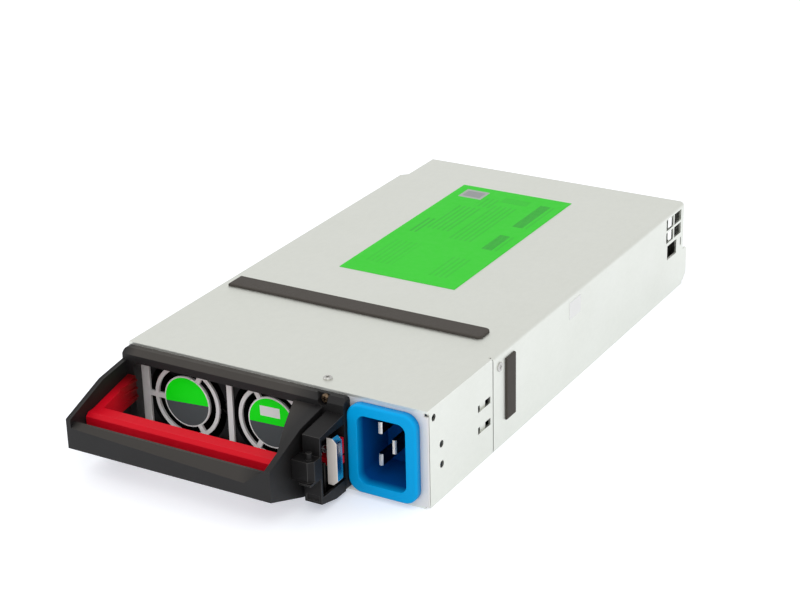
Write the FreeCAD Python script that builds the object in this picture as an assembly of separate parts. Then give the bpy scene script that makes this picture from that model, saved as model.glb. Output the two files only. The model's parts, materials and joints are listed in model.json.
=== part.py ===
import FreeCAD, Part
import math
import os

# Hot swap server power supply, in millimetres.
# X runs across the front, Y goes back into the case, +Z is up.
# While the pieces are made, Y = 0 is the outer face of the front sheet. They are written out
# with the origin at the centre of the case's underside.

V = FreeCAD.Vector

# Case
case_width = 141.0
case_height = 42.5
case_depth = 252.0
sheet = 1.0                 # sheet-metal thickness
bend_radius = 2.2           # outer radius of the cover's long bend
rear_jog = 3.1              # how far the left wall steps in near the rear
rear_jog_length = 28.0
seam_y = 53.8               # joint between the tray's short wall and the cover's long wall
seam_gap = 0.6
corner_gap = 0.4            # gap down the front right corner
relief = 1.6                # bend relief notch at the ends of a seam
tongue_reach = 4.8          # rear tongue of the cover's wall
tongue_bottom = 1.5
tongue_top = 18.0
tongue_chamfer = 3.0

# Fans and the guards stamped in the front sheet
fan_headroom = 0.5
inlet_side_width = 61.0     # what the inlet, the latch and the left gap take of the case's width
fan_size = min(case_height - 2 * sheet - fan_headroom, (case_width - inlet_side_width) / 2)
fan_depth = 28.0
fan_bore = fan_size - 2.0
fan_gap = 1.5
fan_margin = 6.8            # from the left wall to the first fan
fan_hole_pitch = fan_size - 8.0
fan_corner = 2.0
fan_strut_width = 2.2
fan_base = 3.0              # thickness of the frame's hub plate and its struts
bearing_tube_radius = 3.0
rotor_set_back = 2.4        # rotor's front behind the front sheet
cup_wall = 1.2
cup_gap = 0.4               # the cup is this much smaller than the hub plate
stator_gap = 0.8
stator_set_back = 3.2
stator_short = 5.0
stator_slot = 1.6
stator_core = 4.2           # radius left uncut between the poles
shaft_short = 5.0
strut_overlap = 0.4         # how far a strut runs into the frame
fan_ear = 3.6               # thickness of the frame's end flanges
hub_radius = 10.0
hub_depth = 17.0
blade_count = 7
blade_clearance = 0.6
blade_root_pitch = 52.0     # degrees
blade_twist = 1.3           # degrees less for each millimetre outwards
blade_root_chord = 9.0
blade_spread = 0.35         # chord gained for each millimetre outwards
shaft_radius = 1.0
running_clearance = 0.04
guard_opening = fan_bore - 1.0
guard_ring_radius = guard_opening / 2 - 2.5
guard_ring_width = 1.7
guard_disc_radius = 11.3
guard_spoke_width = 2.2
sticker_radius = 10.8
film = 0.16                 # label thickness

# Screws
screw_radius = 1.6
screw_hole_clearance = 0.05
screw_head_radius = 2.9
screw_head = 1.5
fan_screw_length = 8.0
small_screw_radius = 1.25
small_screw_head_radius = 1.9

# Bezel and handle
bezel_depth = 5.0
bezel_inlet_gap = 0.1       # between the bezel and the inlet's collar
bezel_bottom = 2.0
bezel_top = case_height - 1.1
bezel_bevel = 2.2
bezel_corner = 1.5
bezel_left_rail = 7.6
bezel_sill = 2.5
bezel_rail = 5.4
bezel_right_block = 22.9    # solid stretch right of the fan opening
bezel_latch_width = 9.6     # stretch of it that lies right of the handle's arm
bezel_web = 2.2             # sheet left behind the latch
bezel_screw_drop = 2.0      # from the bezel's top to the screw
bezel_screw_seat = 1.8      # thickness under the screw's head
screw_notch_left = 3.8
screw_notch_right = 2.0
screw_notch_depth = 2.3
handle_reach = 43.5
arm_bend_reach = 21.0
arm_root_height = case_height - 8.1
arm_bend_height = arm_root_height - 4.6
bar_height = 13.0
bar_depth = 4.5
bar_bevel_height = 6.2
bar_bevel_depth = 2.5
bar_lip = 0.8
handle_mid_z = case_height / 2 - 1.65
left_arm = 2.2
right_arm = 2.5
gusset_reach = 34.0
gusset_thickness = 2.5

# Latch housing, to the right of the handle
fit = 0.3                   # gap between moulded pieces that slide on each other
housing_gap = 1.7           # from the handle's arm
housing_inset = 0.1         # inside the bezel's right end
housing_reach = 22.7
housing_back_top = bezel_top - 6.0
housing_front_top = bezel_top - 8.0
housing_bottom = 2.0
housing_front_bottom = 4.5
housing_keel = 12.0         # its bottom runs level up to here, then slopes to the front
housing_wall = 1.2
housing_roof = 1.6
window_bottom = 7.2
window_top = bezel_top - 9.9
front_mark = (0.8, 5.6, 5.8, 2.4)       # shallow recess low on its front: x, z, width, height
front_mark_depth = 0.5
spring_box_reach = 29.0
spring_box_bottom = 16.5
spring_box_height = 8.7
spring_box_chamfer = 2.0
ledge_inset = 3.7           # from the spring box's left side
ledge_overhang = 1.0
ledge_thickness = 0.8
post_radius = 1.2
post_height = 3.0
post_inset = 3.0            # from the housing's right and the spring box's front
shelf_thickness = 1.4
shelf_width = 5.1
rib_width = 2.8
rib_top = 17.5

# Release lever and its latch
lever_travel = 4.0
latch_travel = 2.0
lever_bar_front = 34.0
lever_bar_depth = 7.8
lever_bar_bottom = 17.0
lever_bar_height = 8.2
lever_bevel = 1.6
lever_edge = 0.8            # step of the bar's softened top edges
lever_left_arm = 3.9
lever_right_arm = 3.4
lever_hollow_wall = 1.8
lever_root_gap = 0.4        # from the bezel's front
lever_root_height = 10.9
lever_root_bottom = 19.5
lever_right_root_rise = 3.0
tongue_thickness = 2.3
tongue_height = 7.0
tongue_z = 21.0
tongue_length = 15.4
grip_rib_count = 3
grip_rib_depth = 0.8
grip_rib_length = 11.0
pin_radius = 1.0
pin_offset = 2.7            # from the handle arm's right face
slot_clearance = 0.15
slide_bottom = 15.0
slide_thickness = 3.2
slide_left_wall = 0.65      # beside the slot
slide_back_gap = 0.5
tail_height = 4.0
tail_depth = 3.6
tail_gap = 0.4              # over the slide and before the bezel's web
tooth_left = 3.4            # cap's left side from the housing's right side
tooth_proud = 1.2           # cap's right side past it
tooth_bottom = 8.0
tooth_top = window_top - 3.0
tooth_front = 12.8
tooth_depth = 4.3
tooth_skin = 1.2
tooth_chamfer = 2.0
back_block_bottom = 19.0
back_block_drop = 2.5       # its top below the cap's
spring_wire = 0.45
spring_radius = 1.2
spring_turns = 7
spring_side = 2.5           # from the handle arm's right face
spring_bore_clearance = 0.225
spring_end_wall = 0.9
spring_seat = 0.2

# Inlet
inlet_offset = 18.8         # from the right side to the middle of the inlet
collar_width = 31.0
collar_height = case_height - 4.1
collar_corner = 6.0
collar_proud = 3.6
collar_bevel = 1.0
cavity_width = 21.5
cavity_height = collar_height - 8.9
cavity_corner = 3.5
cavity_depth = 20.0
inlet_wall = 2.5
inlet_floor = 2.4
cutout_clearance = 0.25
pin_width = 2.0
power_pin_height = 5.0
earth_pin_height = 6.0
pin_spacing = 14.0
pin_line_offset = 5.0
earth_pin_offset = 1.2
pin_setback = 4.0
pin_tab = 4.4

# Strips, labels and small parts on the case
gasket_left = 3.6
gasket_right = 12.7
gasket_y = 67.1
gasket_width = 9.9
gasket_height = 1.2
gasket_corner = 2.5
gasket_edge = 0.6
side_gasket_y = 64.6
side_gasket_width = 8.0
side_gasket_bottom = 10.2
side_gasket_top = case_height - 4.5
side_gasket_proud = 1.0
side_gasket_edge = 0.4
label_left = 35.6
label_width = 58.4
label_y = 107.9
label_length = 117.5
side_label_y = 124.8
side_label_width = 11.2
side_label_bottom = case_height - 11.4
side_label_height = 7.8
cover_screw_x = 21.4
cover_screw_y = 7.6
cover_screw_head = 0.8
screw_tab = (-2.4, 6.0, 4.0)            # the tab under it: left, right and behind
rivet_y = 59.6
rivet_z = case_height - 6.2
rivet_radius = 1.5
rivet_head_radius = 2.1
rivet_head = 0.5
side_holes = ((4.8, case_height - 4.5), (10.7, 24.0), (10.8, 15.1))
side_hole_radius = 1.5
side_slots = ((40.8, 23.7), (40.8, 14.0))
side_slot_length = 10.6
side_slot_height = 3.0
side_slot_bridge = 4.6
edge_tabs = (78.0, 159.0, case_depth - 11.0)
edge_tab_length = 5.0
vent_y = case_depth - 21.0
vent_width = 8.2
vent_height = 5.4
vent_web = 1.2
vent_bottom = case_height - 14.5
vent_tab = 3.6
tall_window_y = case_depth - 19.4
tall_window_width = 11.0
tall_window_height = 7.2
tall_window_bottom = vent_bottom - tall_window_height - 1.6
side_slit_y = case_depth - 3.7
side_slit_bottom = 21.5
side_slit_height = 4.0

# Inside
board_thickness = 1.6
board_z = 6.0
board_front = 33.0
board_back = case_depth - 19.0
board_margin = 3.5
board_step = 14.0           # board's left step before the inlet, from the inlet's middle
filter_board_width = 26.0
filter_board_headroom = 3.0
filter_board_proud = 0.4    # how far the pins stand past it
insulator = 0.4
standoff_radius = 3.0
standoff_inset = 8.0
connector_left = 8.0
connector_width = 52.0
connector_bottom = 3.0
connector_height = 14.0
connector_front = case_depth - 17.0
contact_count = 8
contact_width = 4.0
contact_thickness = 1.4
contact_recess = 1.5
connector_short = 0.6       # how far the connector ends before the cover's tongue
connector_chamfer = 1.0
socket_depth = 13.2
socket_side = 0.8           # room beside each contact
socket_wall = 3.0
rear_slot_count = 16
rear_slot_width = 3.0
rear_slot_bottom = 21.0
rear_slot_drop = 5.5        # from the case's top to the slots
rear_slot_height = case_height - rear_slot_drop - rear_slot_bottom
board_top = board_z + board_thickness
capacitor_radius = 12.5
capacitor_headroom = 2.9    # under the lid
capacitors_in = ((50.5, 66.0), (50.5, 94.0), (78.5, 94.0))      # from the right side, and y
core_centre = (-12.0, 150.0)
core_width = 40.0
core_length = 34.0
core_headroom = 4.9
core_leg = 5.0
core_window = 9.0
winding_gap = 0.2
winding_length = 44.0
winding_corner = 5.0
sink_headroom = 5.9
sink_base = 3.0
sink_fin = 1.4
sink_fins = 6
primary_sink = (32.5, 78.0, 22.0, 90.0)         # from the right side, y, width, length
secondary_sink = (8.5, 96.0, 20.0, 110.0)       # from the left side, y, width, length
boost_choke = (28.5, 62.0, 18.0, 8.0, 17.0, 3.0)    # from the left side, y, radii, height, corner
filter_choke = (-0.7, 52.0, 13.0, 6.0, 15.0, 2.5)   # from the inlet's middle, y, radii, height, corner

left = -case_width / 2
right = case_width / 2
lid_under = case_height - sheet
fan_z = sheet + fan_size / 2
fan_xs = [left + sheet + fan_margin + fan_size / 2 + i * (fan_size + fan_gap) for i in range(2)]
inlet_x = right - inlet_offset
inlet_z = case_height / 2
bezel_right = inlet_x - collar_width / 2 - bezel_inlet_gap
arm_right = bezel_right - bezel_latch_width
opening_right = bezel_right - bezel_right_block
wall_left = arm_right - right_arm
housing_left = arm_right + housing_gap
housing_right = bezel_right - housing_inset
tail_bottom = slide_bottom + slide_thickness + tail_gap
tail_top = tail_bottom + tail_height
tail_front = -bezel_web - tail_gap - tail_depth
pin_x = arm_right + pin_offset
pin_y = tail_front + tail_depth / 2
slide_left = pin_x - pin_radius - slot_clearance - slide_left_wall
slide_front = -tooth_front + tooth_skin + 0.7
slide_back = -bezel_web - slide_back_gap
tooth_back = -tooth_front + tooth_depth


def box(x0, x1, y0, y1, z0, z1):
    return Part.makeBox(x1 - x0, y1 - y0, z1 - z0, V(x0, y0, z0))


def rod(radius, start, direction, length):
    return Part.makeCylinder(radius, length, start, direction)


def along_x(outline, x0, x1):
    """Extrude an outline of (y, z) points from x0 to x1."""
    wire = Part.makePolygon([V(x0, y, z) for y, z in outline + outline[:1]])
    return Part.Face(wire).extrude(V(x1 - x0, 0, 0))


def along_y(outline, y0, y1):
    """Extrude an outline of (x, z) points from y0 to y1."""
    wire = Part.makePolygon([V(x, y0, z) for x, z in outline + outline[:1]])
    return Part.Face(wire).extrude(V(0, y1 - y0, 0))


def along_z(outline, z0, z1):
    """Extrude an outline of (x, y) points from z0 to z1."""
    wire = Part.makePolygon([V(x, y, z0) for x, y in outline + outline[:1]])
    return Part.Face(wire).extrude(V(0, 0, z1 - z0))


def join(shapes):
    whole = shapes[0]
    for shape in shapes[1:]:
        whole = whole.fuse(shape)
    return whole.removeSplitter()


def cut(shape, tools):
    for tool in tools:
        shape = shape.cut(tool)
    return shape


def edges_along(shape, axis, test=lambda middle: True):
    """Straight edges parallel to an axis whose middle point passes the test."""
    found = []
    for edge in shape.Edges:
        if len(edge.Vertexes) == 2:
            step = edge.Vertexes[1].Point.sub(edge.Vertexes[0].Point)
            if abs(abs(step.dot(axis)) - step.Length) < 1e-6 and abs(edge.Length - step.Length) < 1e-6:
                if test(edge.CenterOfMass):
                    found.append(edge)
    return found


def rounded_along_y(cx, cz, width, height, corner, y0, y1):
    block = box(cx - width / 2, cx + width / 2, y0, y1, cz - height / 2, cz + height / 2)
    return block.makeFillet(corner, edges_along(block, V(0, 1, 0)))


def slot_along_z(start, end, radius, z0, z1):
    """A round-ended slot between two (x, y) points."""
    dx, dy = end[0] - start[0], end[1] - start[1]
    length = math.hypot(dx, dy)
    nx, ny = -dy / length * radius, dx / length * radius
    middle = along_z([(start[0] + nx, start[1] + ny), (start[0] - nx, start[1] - ny),
                      (end[0] - nx, end[1] - ny), (end[0] + nx, end[1] + ny)], z0, z1)
    ends = [rod(radius, V(x, y, z0), V(0, 0, 1), z1 - z0) for x, y in (start, end)]
    return join([middle] + ends)


# ---- sheet-metal case ----

def case_plan(inset=0.0):
    """The case seen from above, with the jog of the left wall near the rear."""
    jog_y = case_depth - rear_jog_length
    return [(left + inset, 0), (right, 0), (right, case_depth), (left + rear_jog + inset, case_depth),
            (left + rear_jog + inset, jog_y + rear_jog), (left + inset, jog_y)]


def make_base_tray():
    floor = along_z(case_plan(), 0, sheet)
    wall = along_z(case_plan(), sheet, lid_under).cut(along_z(case_plan(sheet), sheet, lid_under))
    wall = wall.common(box(left, left + rear_jog + 2 * sheet, sheet, case_depth, 0, case_height))
    wing = box(right - sheet, right, sheet + corner_gap, seam_y - seam_gap / 2, 0, lid_under)
    tray = join([floor, wall, wing])
    tray = tray.cut(box(right - sheet, right, seam_y - seam_gap / 2, case_depth, 0, sheet))
    tray = join([tray] + [box(right - sheet, right, y, y + edge_tab_length, 0, sheet) for y in edge_tabs])
    holes = [rod(side_hole_radius, V(right - 2 * sheet, y, z), V(1, 0, 0), 3 * sheet) for y, z in side_holes]
    bridges = []
    for y, z in side_slots:
        holes.append(box(right - 2 * sheet, right + sheet, y, y + side_slot_length, z, z + side_slot_height))
        middle = y + side_slot_length / 2
        # The lanced bridge stands inside the wall and is joined to the slot's upper and lower edges.
        bridge = box(right - 1.6 * sheet, right - 0.8 * sheet, middle - side_slot_bridge / 2,
                     middle + side_slot_bridge / 2, z - sheet, z + side_slot_height + sheet)
        bridges.append(bridge)
    notch = box(right - relief, right + sheet, 0, relief, 0, relief)
    return join([cut(tray, holes + [notch])] + bridges)


def make_front_panel():
    panel = box(left, right, 0, sheet, sheet, lid_under)
    tab = box(cover_screw_x + screw_tab[0], cover_screw_x + screw_tab[1], sheet, cover_screw_y + screw_tab[2],
              lid_under - sheet, lid_under)
    panel = join([panel, tab])
    tools = [rod(small_screw_radius, V(cover_screw_x, cover_screw_y, 0), V(0, 0, 1), case_height)]
    for cx in fan_xs:
        half = guard_opening / 2
        tools.append(box(cx - half, cx + half, 0, sheet, fan_z - half, fan_z + half))
    tools.append(box(inlet_x - collar_width / 2 + inlet_wall, inlet_x + collar_width / 2 - inlet_wall,
                     0, sheet, inlet_z - collar_height / 2 + inlet_wall,
                     inlet_z + collar_height / 2 - inlet_wall))
    tools.append(box(left + left_arm, left + left_arm + tongue_thickness + 2 * fit, 0, sheet,
                     tongue_z - fit, tongue_z + tongue_height + fit))
    tools.append(rod(small_screw_radius, bezel_screw_place(), V(0, 1, 0), 2 * bezel_depth))
    tools.append(box(right - relief, right, 0, sheet, lid_under - relief, lid_under))
    panel = cut(panel, tools)
    guards = [guard(cx, angles) for cx, angles in zip(fan_xs, ((180, 60, 300), (120, 0, 240)))]
    panel = join([panel] + guards)
    holes = [rod(screw_radius + 2 * screw_hole_clearance, V(x, 0, z), V(0, 1, 0), sheet)
             for x, z in fan_screw_places()]
    return cut(panel, holes)


def guard(cx, angles):
    """Ring, spokes and central disc of one stamped fan guard."""
    centre = V(cx, 0, fan_z)
    forward = V(0, 1, 0)
    ring = rod(guard_ring_radius, centre, forward, sheet)
    ring = ring.cut(rod(guard_ring_radius - guard_ring_width, centre, forward, sheet))
    pieces = [ring, rod(guard_disc_radius, centre, forward, sheet)]
    for angle in angles:
        spoke = box(cx, cx + guard_opening, 0, sheet, fan_z - guard_spoke_width / 2,
                    fan_z + guard_spoke_width / 2)
        spoke.rotate(centre, V(0, -1, 0), angle)
        pieces.append(spoke)
    half = guard_opening / 2 + 0.5
    return join(pieces).common(box(cx - half, cx + half, 0, sheet, fan_z - half, fan_z + half))


def fan_screw_places():
    half = fan_hole_pitch / 2
    return [(cx + sx * half, fan_z + sz * half) for cx in fan_xs for sx in (-1, 1) for sz in (-1, 1)]


def make_top_cover():
    lid = along_z(case_plan(), lid_under, case_height)
    start = seam_y + seam_gap / 2
    wall = box(right - sheet, right, start, case_depth, 0, case_height)
    bend = box(right - bend_radius, right, start, case_depth, case_height - bend_radius, case_height)
    bend = bend.cut(rod(bend_radius, V(right - bend_radius, start, case_height - bend_radius),
                        V(0, 1, 0), case_depth))
    cover = join([lid, wall, inner_bend(start, case_depth, 0)]).cut(bend)
    cover = join([cover, rear_tongue()])
    tools = [rod(rivet_radius, V(right - 2 * sheet, rivet_y, rivet_z), V(1, 0, 0), 3 * sheet),
             rod(small_screw_radius, V(cover_screw_x, cover_screw_y, lid_under), V(0, 0, 1), sheet),
             box(right - relief, right, seam_y - relief / 2, start, lid_under, case_height)]
    tools += [box(right - sheet, right, y, y + edge_tab_length, 0, sheet) for y in edge_tabs]
    tools += [box(right - sheet, right, y0, y1, z0, z1) for y0, y1, z0, z1 in vent_windows()]
    tools.append(box(right - sheet, right, side_slit_y, side_slit_y + sheet, side_slit_bottom,
                     side_slit_bottom + side_slit_height))
    cover = cut(cover, tools)
    return join([cover] + [vent_tab_in(y0, z0, z1) for y0, y1, z0, z1 in vent_windows()])


def inner_bend(y0, y1, gap):
    """What fills the corner under the lid's bend, down to a gap inside its inner radius."""
    x, z = right - bend_radius, case_height - bend_radius
    corner = box(x, right - sheet, y0, y1, z, lid_under)
    return corner.cut(rod(bend_radius - sheet - gap, V(x, y0, z), V(0, 1, 0), y1 - y0))


def rear_tongue():
    """The cover's wall runs on behind the rear panel in its lower part, beside the output connector."""
    y0, y1 = case_depth, case_depth + tongue_reach
    outline = [(y0, tongue_bottom), (y1 - tongue_chamfer, tongue_bottom),
               (y1, tongue_bottom + tongue_chamfer),
               (y1, tongue_top - sheet), (y1 - sheet, tongue_top), (y0, tongue_top)]
    return along_x(outline, right - sheet, right)


def vent_windows():
    """Two by two small windows and a taller one below them, as (y0, y1, z0, z1)."""
    windows = []
    for column in range(2):
        for row in range(2):
            y0 = vent_y + column * (vent_width + vent_web)
            z0 = vent_bottom + row * (vent_height + vent_web)
            windows.append((y0, y0 + vent_width, z0, z0 + vent_height))
    windows.append((tall_window_y, tall_window_y + tall_window_width, tall_window_bottom,
                    tall_window_bottom + tall_window_height))
    return windows


def vent_tab_in(y0, z0, z1):
    """The tab of a window stays joined at its front edge and is bent into the case."""
    x = right - sheet
    outline = [(x, y0 - sheet), (x + 0.5 * sheet, y0 - sheet), (x + 0.5 * sheet, y0),
               (x - 0.8 * sheet, y0 + vent_tab), (x - 1.6 * sheet, y0 + vent_tab), (x, y0)]
    return along_z(outline, z0 + 0.4, z1 - 0.4)


def make_rear_panel():
    panel = box(left + rear_jog + sheet, right - sheet, case_depth - sheet, case_depth, sheet, lid_under)
    tools = [box(connector_left, connector_left + connector_width, case_depth - sheet, case_depth,
                 connector_bottom, connector_bottom + connector_height)]
    pitch = (case_width - rear_jog - 4 * sheet) / rear_slot_count
    for i in range(rear_slot_count):
        x = left + rear_jog + 2 * sheet + (i + 0.5) * pitch
        block = rounded_along_y(x, rear_slot_bottom + rear_slot_height / 2, rear_slot_width, rear_slot_height,
                                rear_slot_width / 2 - 0.05, case_depth - sheet, case_depth)
        tools.append(block)
    tools.append(inner_bend(case_depth - sheet, case_depth, 0.2))
    return cut(panel, tools)


# ---- bezel, handle and latch ----

def bezel_screw_place():
    return V(arm_right, -bezel_depth, bezel_top - bezel_screw_drop)


def arm_outline(top_only=False):
    """Side view of a handle arm: nearly level near the bezel, then sloping to the bar."""
    reach = [bezel_depth, arm_bend_reach, handle_reach]
    half = [arm_root_height / 2, arm_bend_height / 2, bar_height / 2]
    top = [(-r, handle_mid_z + h) for r, h in zip(reach, half)]
    if top_only:
        return top + [(y, z - gusset_thickness) for y, z in reversed(top)]
    return top + [(-r, handle_mid_z - h) for r, h in zip(reversed(reach), reversed(half))]


def screw_notch():
    """Pointed notch in the bezel's top edge that lets the screw's head in."""
    place = bezel_screw_place()
    seat = -bezel_screw_seat
    point = along_y([(place.x - screw_notch_left, bezel_top), (place.x + fit, place.z - screw_notch_depth),
                     (place.x + screw_notch_right, bezel_top)], -bezel_depth, seat)
    return join([point, rod(small_screw_head_radius + fit, place, V(0, 1, 0),
                            bezel_depth - bezel_screw_seat)])


def make_bezel_handle():
    plate = box(left, bezel_right, -bezel_depth, 0, bezel_bottom, bezel_top)
    plate = plate.makeChamfer(bezel_bevel,
                              edges_along(plate, V(1, 0, 0), lambda m: m.y < -1 and m.z > bezel_top - 1))
    plate = plate.makeFillet(bezel_corner, edges_along(plate, V(0, 1, 0)))
    plate = plate.cut(box(left + bezel_left_rail, opening_right, -bezel_depth, 0,
                          bezel_bottom + bezel_sill, bezel_top - bezel_rail))
    channel = box(opening_right, slide_stop() + fit, -bezel_depth, -bezel_web, slide_bottom - fit,
                  tail_top + fit)
    tongue_slot = box(left + left_arm, left + left_arm + tongue_thickness + 2 * fit, -bezel_depth, 0,
                      tongue_z - fit, tongue_z + tongue_height + fit)
    shank = rod(small_screw_radius, bezel_screw_place(), V(0, 1, 0), bezel_depth)
    plate = cut(plate, [channel, tongue_slot, screw_notch(), shank])
    for x, z in fan_screw_places():
        plate = plate.cut(rod(screw_head_radius + fit, V(x, -screw_head - fit, z), V(0, 1, 0), bezel_depth))
    arms = [along_x(arm_outline(), left, left + left_arm), along_x(arm_outline(), wall_left, arm_right)]
    web = along_z([(wall_left, -gusset_reach), (opening_right, -bezel_depth), (wall_left, -bezel_depth)],
                  0, case_height)
    web = web.common(along_x(arm_outline(True), left, arm_right))
    arms[1] = arms[1].cut(box(wall_left, arm_right, slide_front - fit, -bezel_depth, slide_bottom - fit,
                              tail_top + fit))
    return join([plate, handle_bar(), web] + arms)


def handle_bar():
    front, back = -handle_reach, -handle_reach + bar_depth
    low, high = handle_mid_z - bar_height / 2, handle_mid_z + bar_height / 2
    outline = [(front, low), (front, high - bar_bevel_height), (front + bar_bevel_depth, high - bar_lip),
               (back - bar_lip, high - bar_lip), (back, high - 2 * bar_lip), (back, low)]
    return along_x(outline, left, arm_right)


def slide_stop():
    """Right end of the slide's part that runs in the bezel's channel."""
    return pin_x + latch_travel + slide_left_wall


def make_latch_housing():
    """A box with an open right side, and before it the smaller box that holds the spring."""
    x0, x1 = housing_left, housing_right
    front, back, keel, wall = -housing_reach, -bezel_depth, -housing_keel, housing_wall
    shell = along_x([(front, housing_front_bottom), (front, housing_front_top), (back, housing_back_top),
                     (back, housing_bottom), (keel, housing_bottom)], x0, x1)
    inside = along_x([(front + wall, housing_front_bottom + wall),
                      (front + wall, housing_front_top - housing_roof),
                      (back, housing_back_top - housing_roof), (back, housing_bottom + wall),
                      (keel, housing_bottom + wall)], x0 + wall, x1 - wall)
    window = box(x1 - wall, x1, front + wall, back, window_bottom, window_top)
    passage = box(x0, x0 + wall, front + wall, back, slide_bottom - fit, tail_top + fit)
    mark_x, mark_z, mark_width, mark_height = front_mark
    mark = box(x0 + mark_x, x0 + mark_x + mark_width, front, front + front_mark_depth, mark_z,
               mark_z + mark_height)
    shell = cut(shell, [inside, window, passage, mark])
    shelf = box(x0 + wall, x0 + wall + shelf_width, tooth_back + fit, back,
                slide_bottom - fit - shelf_thickness,
                slide_bottom - fit)
    rib = box(x0 + wall, x0 + wall + rib_width, -tooth_front - fit - wall, -tooth_front - fit,
              housing_front_bottom, rib_top)
    return join([shell, shelf, rib] + spring_box()).cut(spring_pocket())


def spring_box():
    x0, x1 = arm_right + fit, housing_right
    front, back = -spring_box_reach, -housing_reach
    low, high = spring_box_bottom, spring_box_bottom + spring_box_height
    block = box(x0, x1, front, back, low, high)
    block = block.makeChamfer(spring_box_chamfer,
                              edges_along(block, V(0, 0, 1), lambda m: m.x > x0 + 1 and m.y < back - 1))
    ledge = box(x0 + ledge_inset, x1, front - ledge_overhang, back, low - ledge_thickness, low)
    post = rod(post_radius, V(x1 - post_inset, front + post_inset, high), V(0, 0, 1), post_height)
    return [block, ledge, post]


def spring_pocket():
    length = spring_box_reach - spring_end_wall + spring_seat - housing_reach + housing_wall
    return rod(spring_radius + spring_wire / 2 + spring_bore_clearance, spring_start(-spring_seat),
               V(0, 1, 0), length)


def spring_start(back_off=0.0):
    return V(arm_right + spring_side, -spring_box_reach + spring_end_wall + back_off,
             (tail_bottom + tail_top) / 2)


def make_release_lever():
    x0, x1 = left + left_arm + fit, wall_left - fit
    front, back = -lever_bar_front, -lever_bar_front + lever_bar_depth
    low, high = lever_bar_bottom, lever_bar_bottom + lever_bar_height
    rear = -bezel_depth - lever_root_gap
    bar = along_x([(front, low), (front, high - lever_bevel), (front + lever_bevel, high - lever_edge / 4),
                   (back - lever_edge, high), (back, high - lever_edge), (back, low)], x0, x1)
    bar = bar.cut(box(x0 + lever_left_arm, x1 - lever_right_arm, front + lever_hollow_wall,
                      back - lever_hollow_wall, low, high - lever_bevel - lever_edge))
    arm_l = along_x([(front + lever_bevel, low), (front + lever_bevel, high - lever_edge),
                     (rear, lever_root_bottom + lever_root_height), (rear, lever_root_bottom), (back, low)],
                    x0, x0 + lever_left_arm)
    tongue = box(x0, x0 + tongue_thickness, rear, rear + tongue_length, tongue_z, tongue_z + tongue_height)
    arm_r = along_x([(back, low), (back, high - lever_bevel - lever_edge),
                     (rear, tail_top + lever_right_root_rise),
                     (rear, tail_bottom)], x1 - lever_right_arm, x1)
    tail = box(x1 - lever_right_arm, pin_x + pin_radius + 0.1, tail_front, tail_front + tail_depth,
               tail_bottom, tail_top)
    lever = join([bar, arm_l, tongue, arm_r, tail] + grip_ribs(x0 + lever_left_arm, rear))
    return lever.cut(rod(pin_radius, V(pin_x, pin_y, tail_bottom), V(0, 0, 1), tail_height))


def grip_ribs(x, rear):
    """Small wedges on the inner side of the lever's left arm, at its root."""
    pitch = lever_root_height / grip_rib_count
    ribs = []
    for i in range(grip_rib_count):
        z = lever_root_bottom + (i + 0.5) * pitch
        ribs.append(along_z([(x, rear - grip_rib_length), (x, rear), (x + grip_rib_depth, rear)],
                            z - grip_rib_depth / 2, z + grip_rib_depth / 2))
    return ribs


def make_drive_pin():
    low = slide_bottom + fit
    return rod(pin_radius, V(pin_x, pin_y, low), V(0, 0, 1), tail_top - low)


def make_latch_slide():
    """The pin's straight run in the slanted slot draws the slide sideways."""
    core_left = housing_right - tooth_left + fit
    core_right = housing_right + tooth_proud - tooth_skin
    top = slide_bottom + slide_thickness
    before_bezel = -bezel_depth - tail_gap
    foot = join([box(slide_left, core_right, slide_front, before_bezel, slide_bottom, top),
                 box(slide_left, slide_stop(), before_bezel, slide_back, slide_bottom, top)])
    foot = foot.cut(slot_along_z((pin_x, pin_y), (pin_x + latch_travel, pin_y - lever_travel),
                                 pin_radius + slot_clearance, slide_bottom, top))
    core = box(core_left, core_right, -tooth_front + tooth_skin, tooth_back, tooth_bottom + tooth_skin,
               tooth_top - tooth_skin)
    block = box(core_left, core_right, tooth_back, before_bezel, back_block_bottom,
                tooth_top - back_block_drop)
    return join([foot, core, block])


def make_latch_face():
    """Bright metal cap on the tooth: its flat face looks forward and one cheek looks to the inlet."""
    x0, x1 = housing_right - tooth_left, housing_right + tooth_proud
    z0, z1 = tooth_bottom, tooth_top
    c = tooth_chamfer
    outline = [(x0, z0), (x1 - c, z0), (x1, z0 + c), (x1, z1 - c), (x1 - c, z1), (x0, z1)]
    cap = along_y(outline, -tooth_front, tooth_back)
    return cap.cut(box(x0, x1 - tooth_skin, -tooth_front + tooth_skin, tooth_back, z0 + tooth_skin,
                       z1 - tooth_skin))


def make_lever_spring():
    start = spring_start()
    length = tail_front - spring_seat - start.y - spring_wire
    helix = Part.makeHelix(length / spring_turns, length, spring_radius)
    profile = Part.Wire([Part.makeCircle(spring_wire / 2, V(spring_radius, 0, 0), V(0, 1, 0))])
    coil = Part.Wire(helix).makePipeShell([profile], True, True)
    coil.rotate(V(0, 0, 0), V(1, 0, 0), -90)
    coil.translate(V(start.x, start.y + spring_wire / 2, start.z))
    return coil


def screw(place, direction, radius, head_radius, head, length):
    """A pan head and its shank; the place is the seat under the head."""
    back = V(direction.x * -head, direction.y * -head, direction.z * -head)
    cap = rod(head_radius, place.add(back), direction, head)
    rim = [e for e in cap.Edges if len(e.Vertexes) == 1 and e.CenterOfMass.sub(place).Length > head * 0.9]
    cap = cap.makeChamfer(head * 0.4, rim)
    cross = []
    for width, depth in ((head_radius, 0.5), (0.5, head_radius)):
        bar = Part.makeBox(width, depth, head * 0.5, V(-width / 2, -depth / 2, -head))
        bar.Placement = FreeCAD.Placement(place, FreeCAD.Rotation(V(0, 0, 1), direction))
        cross.append(bar)
    return join([cut(cap, cross), rod(radius, place, direction, length)])


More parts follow.
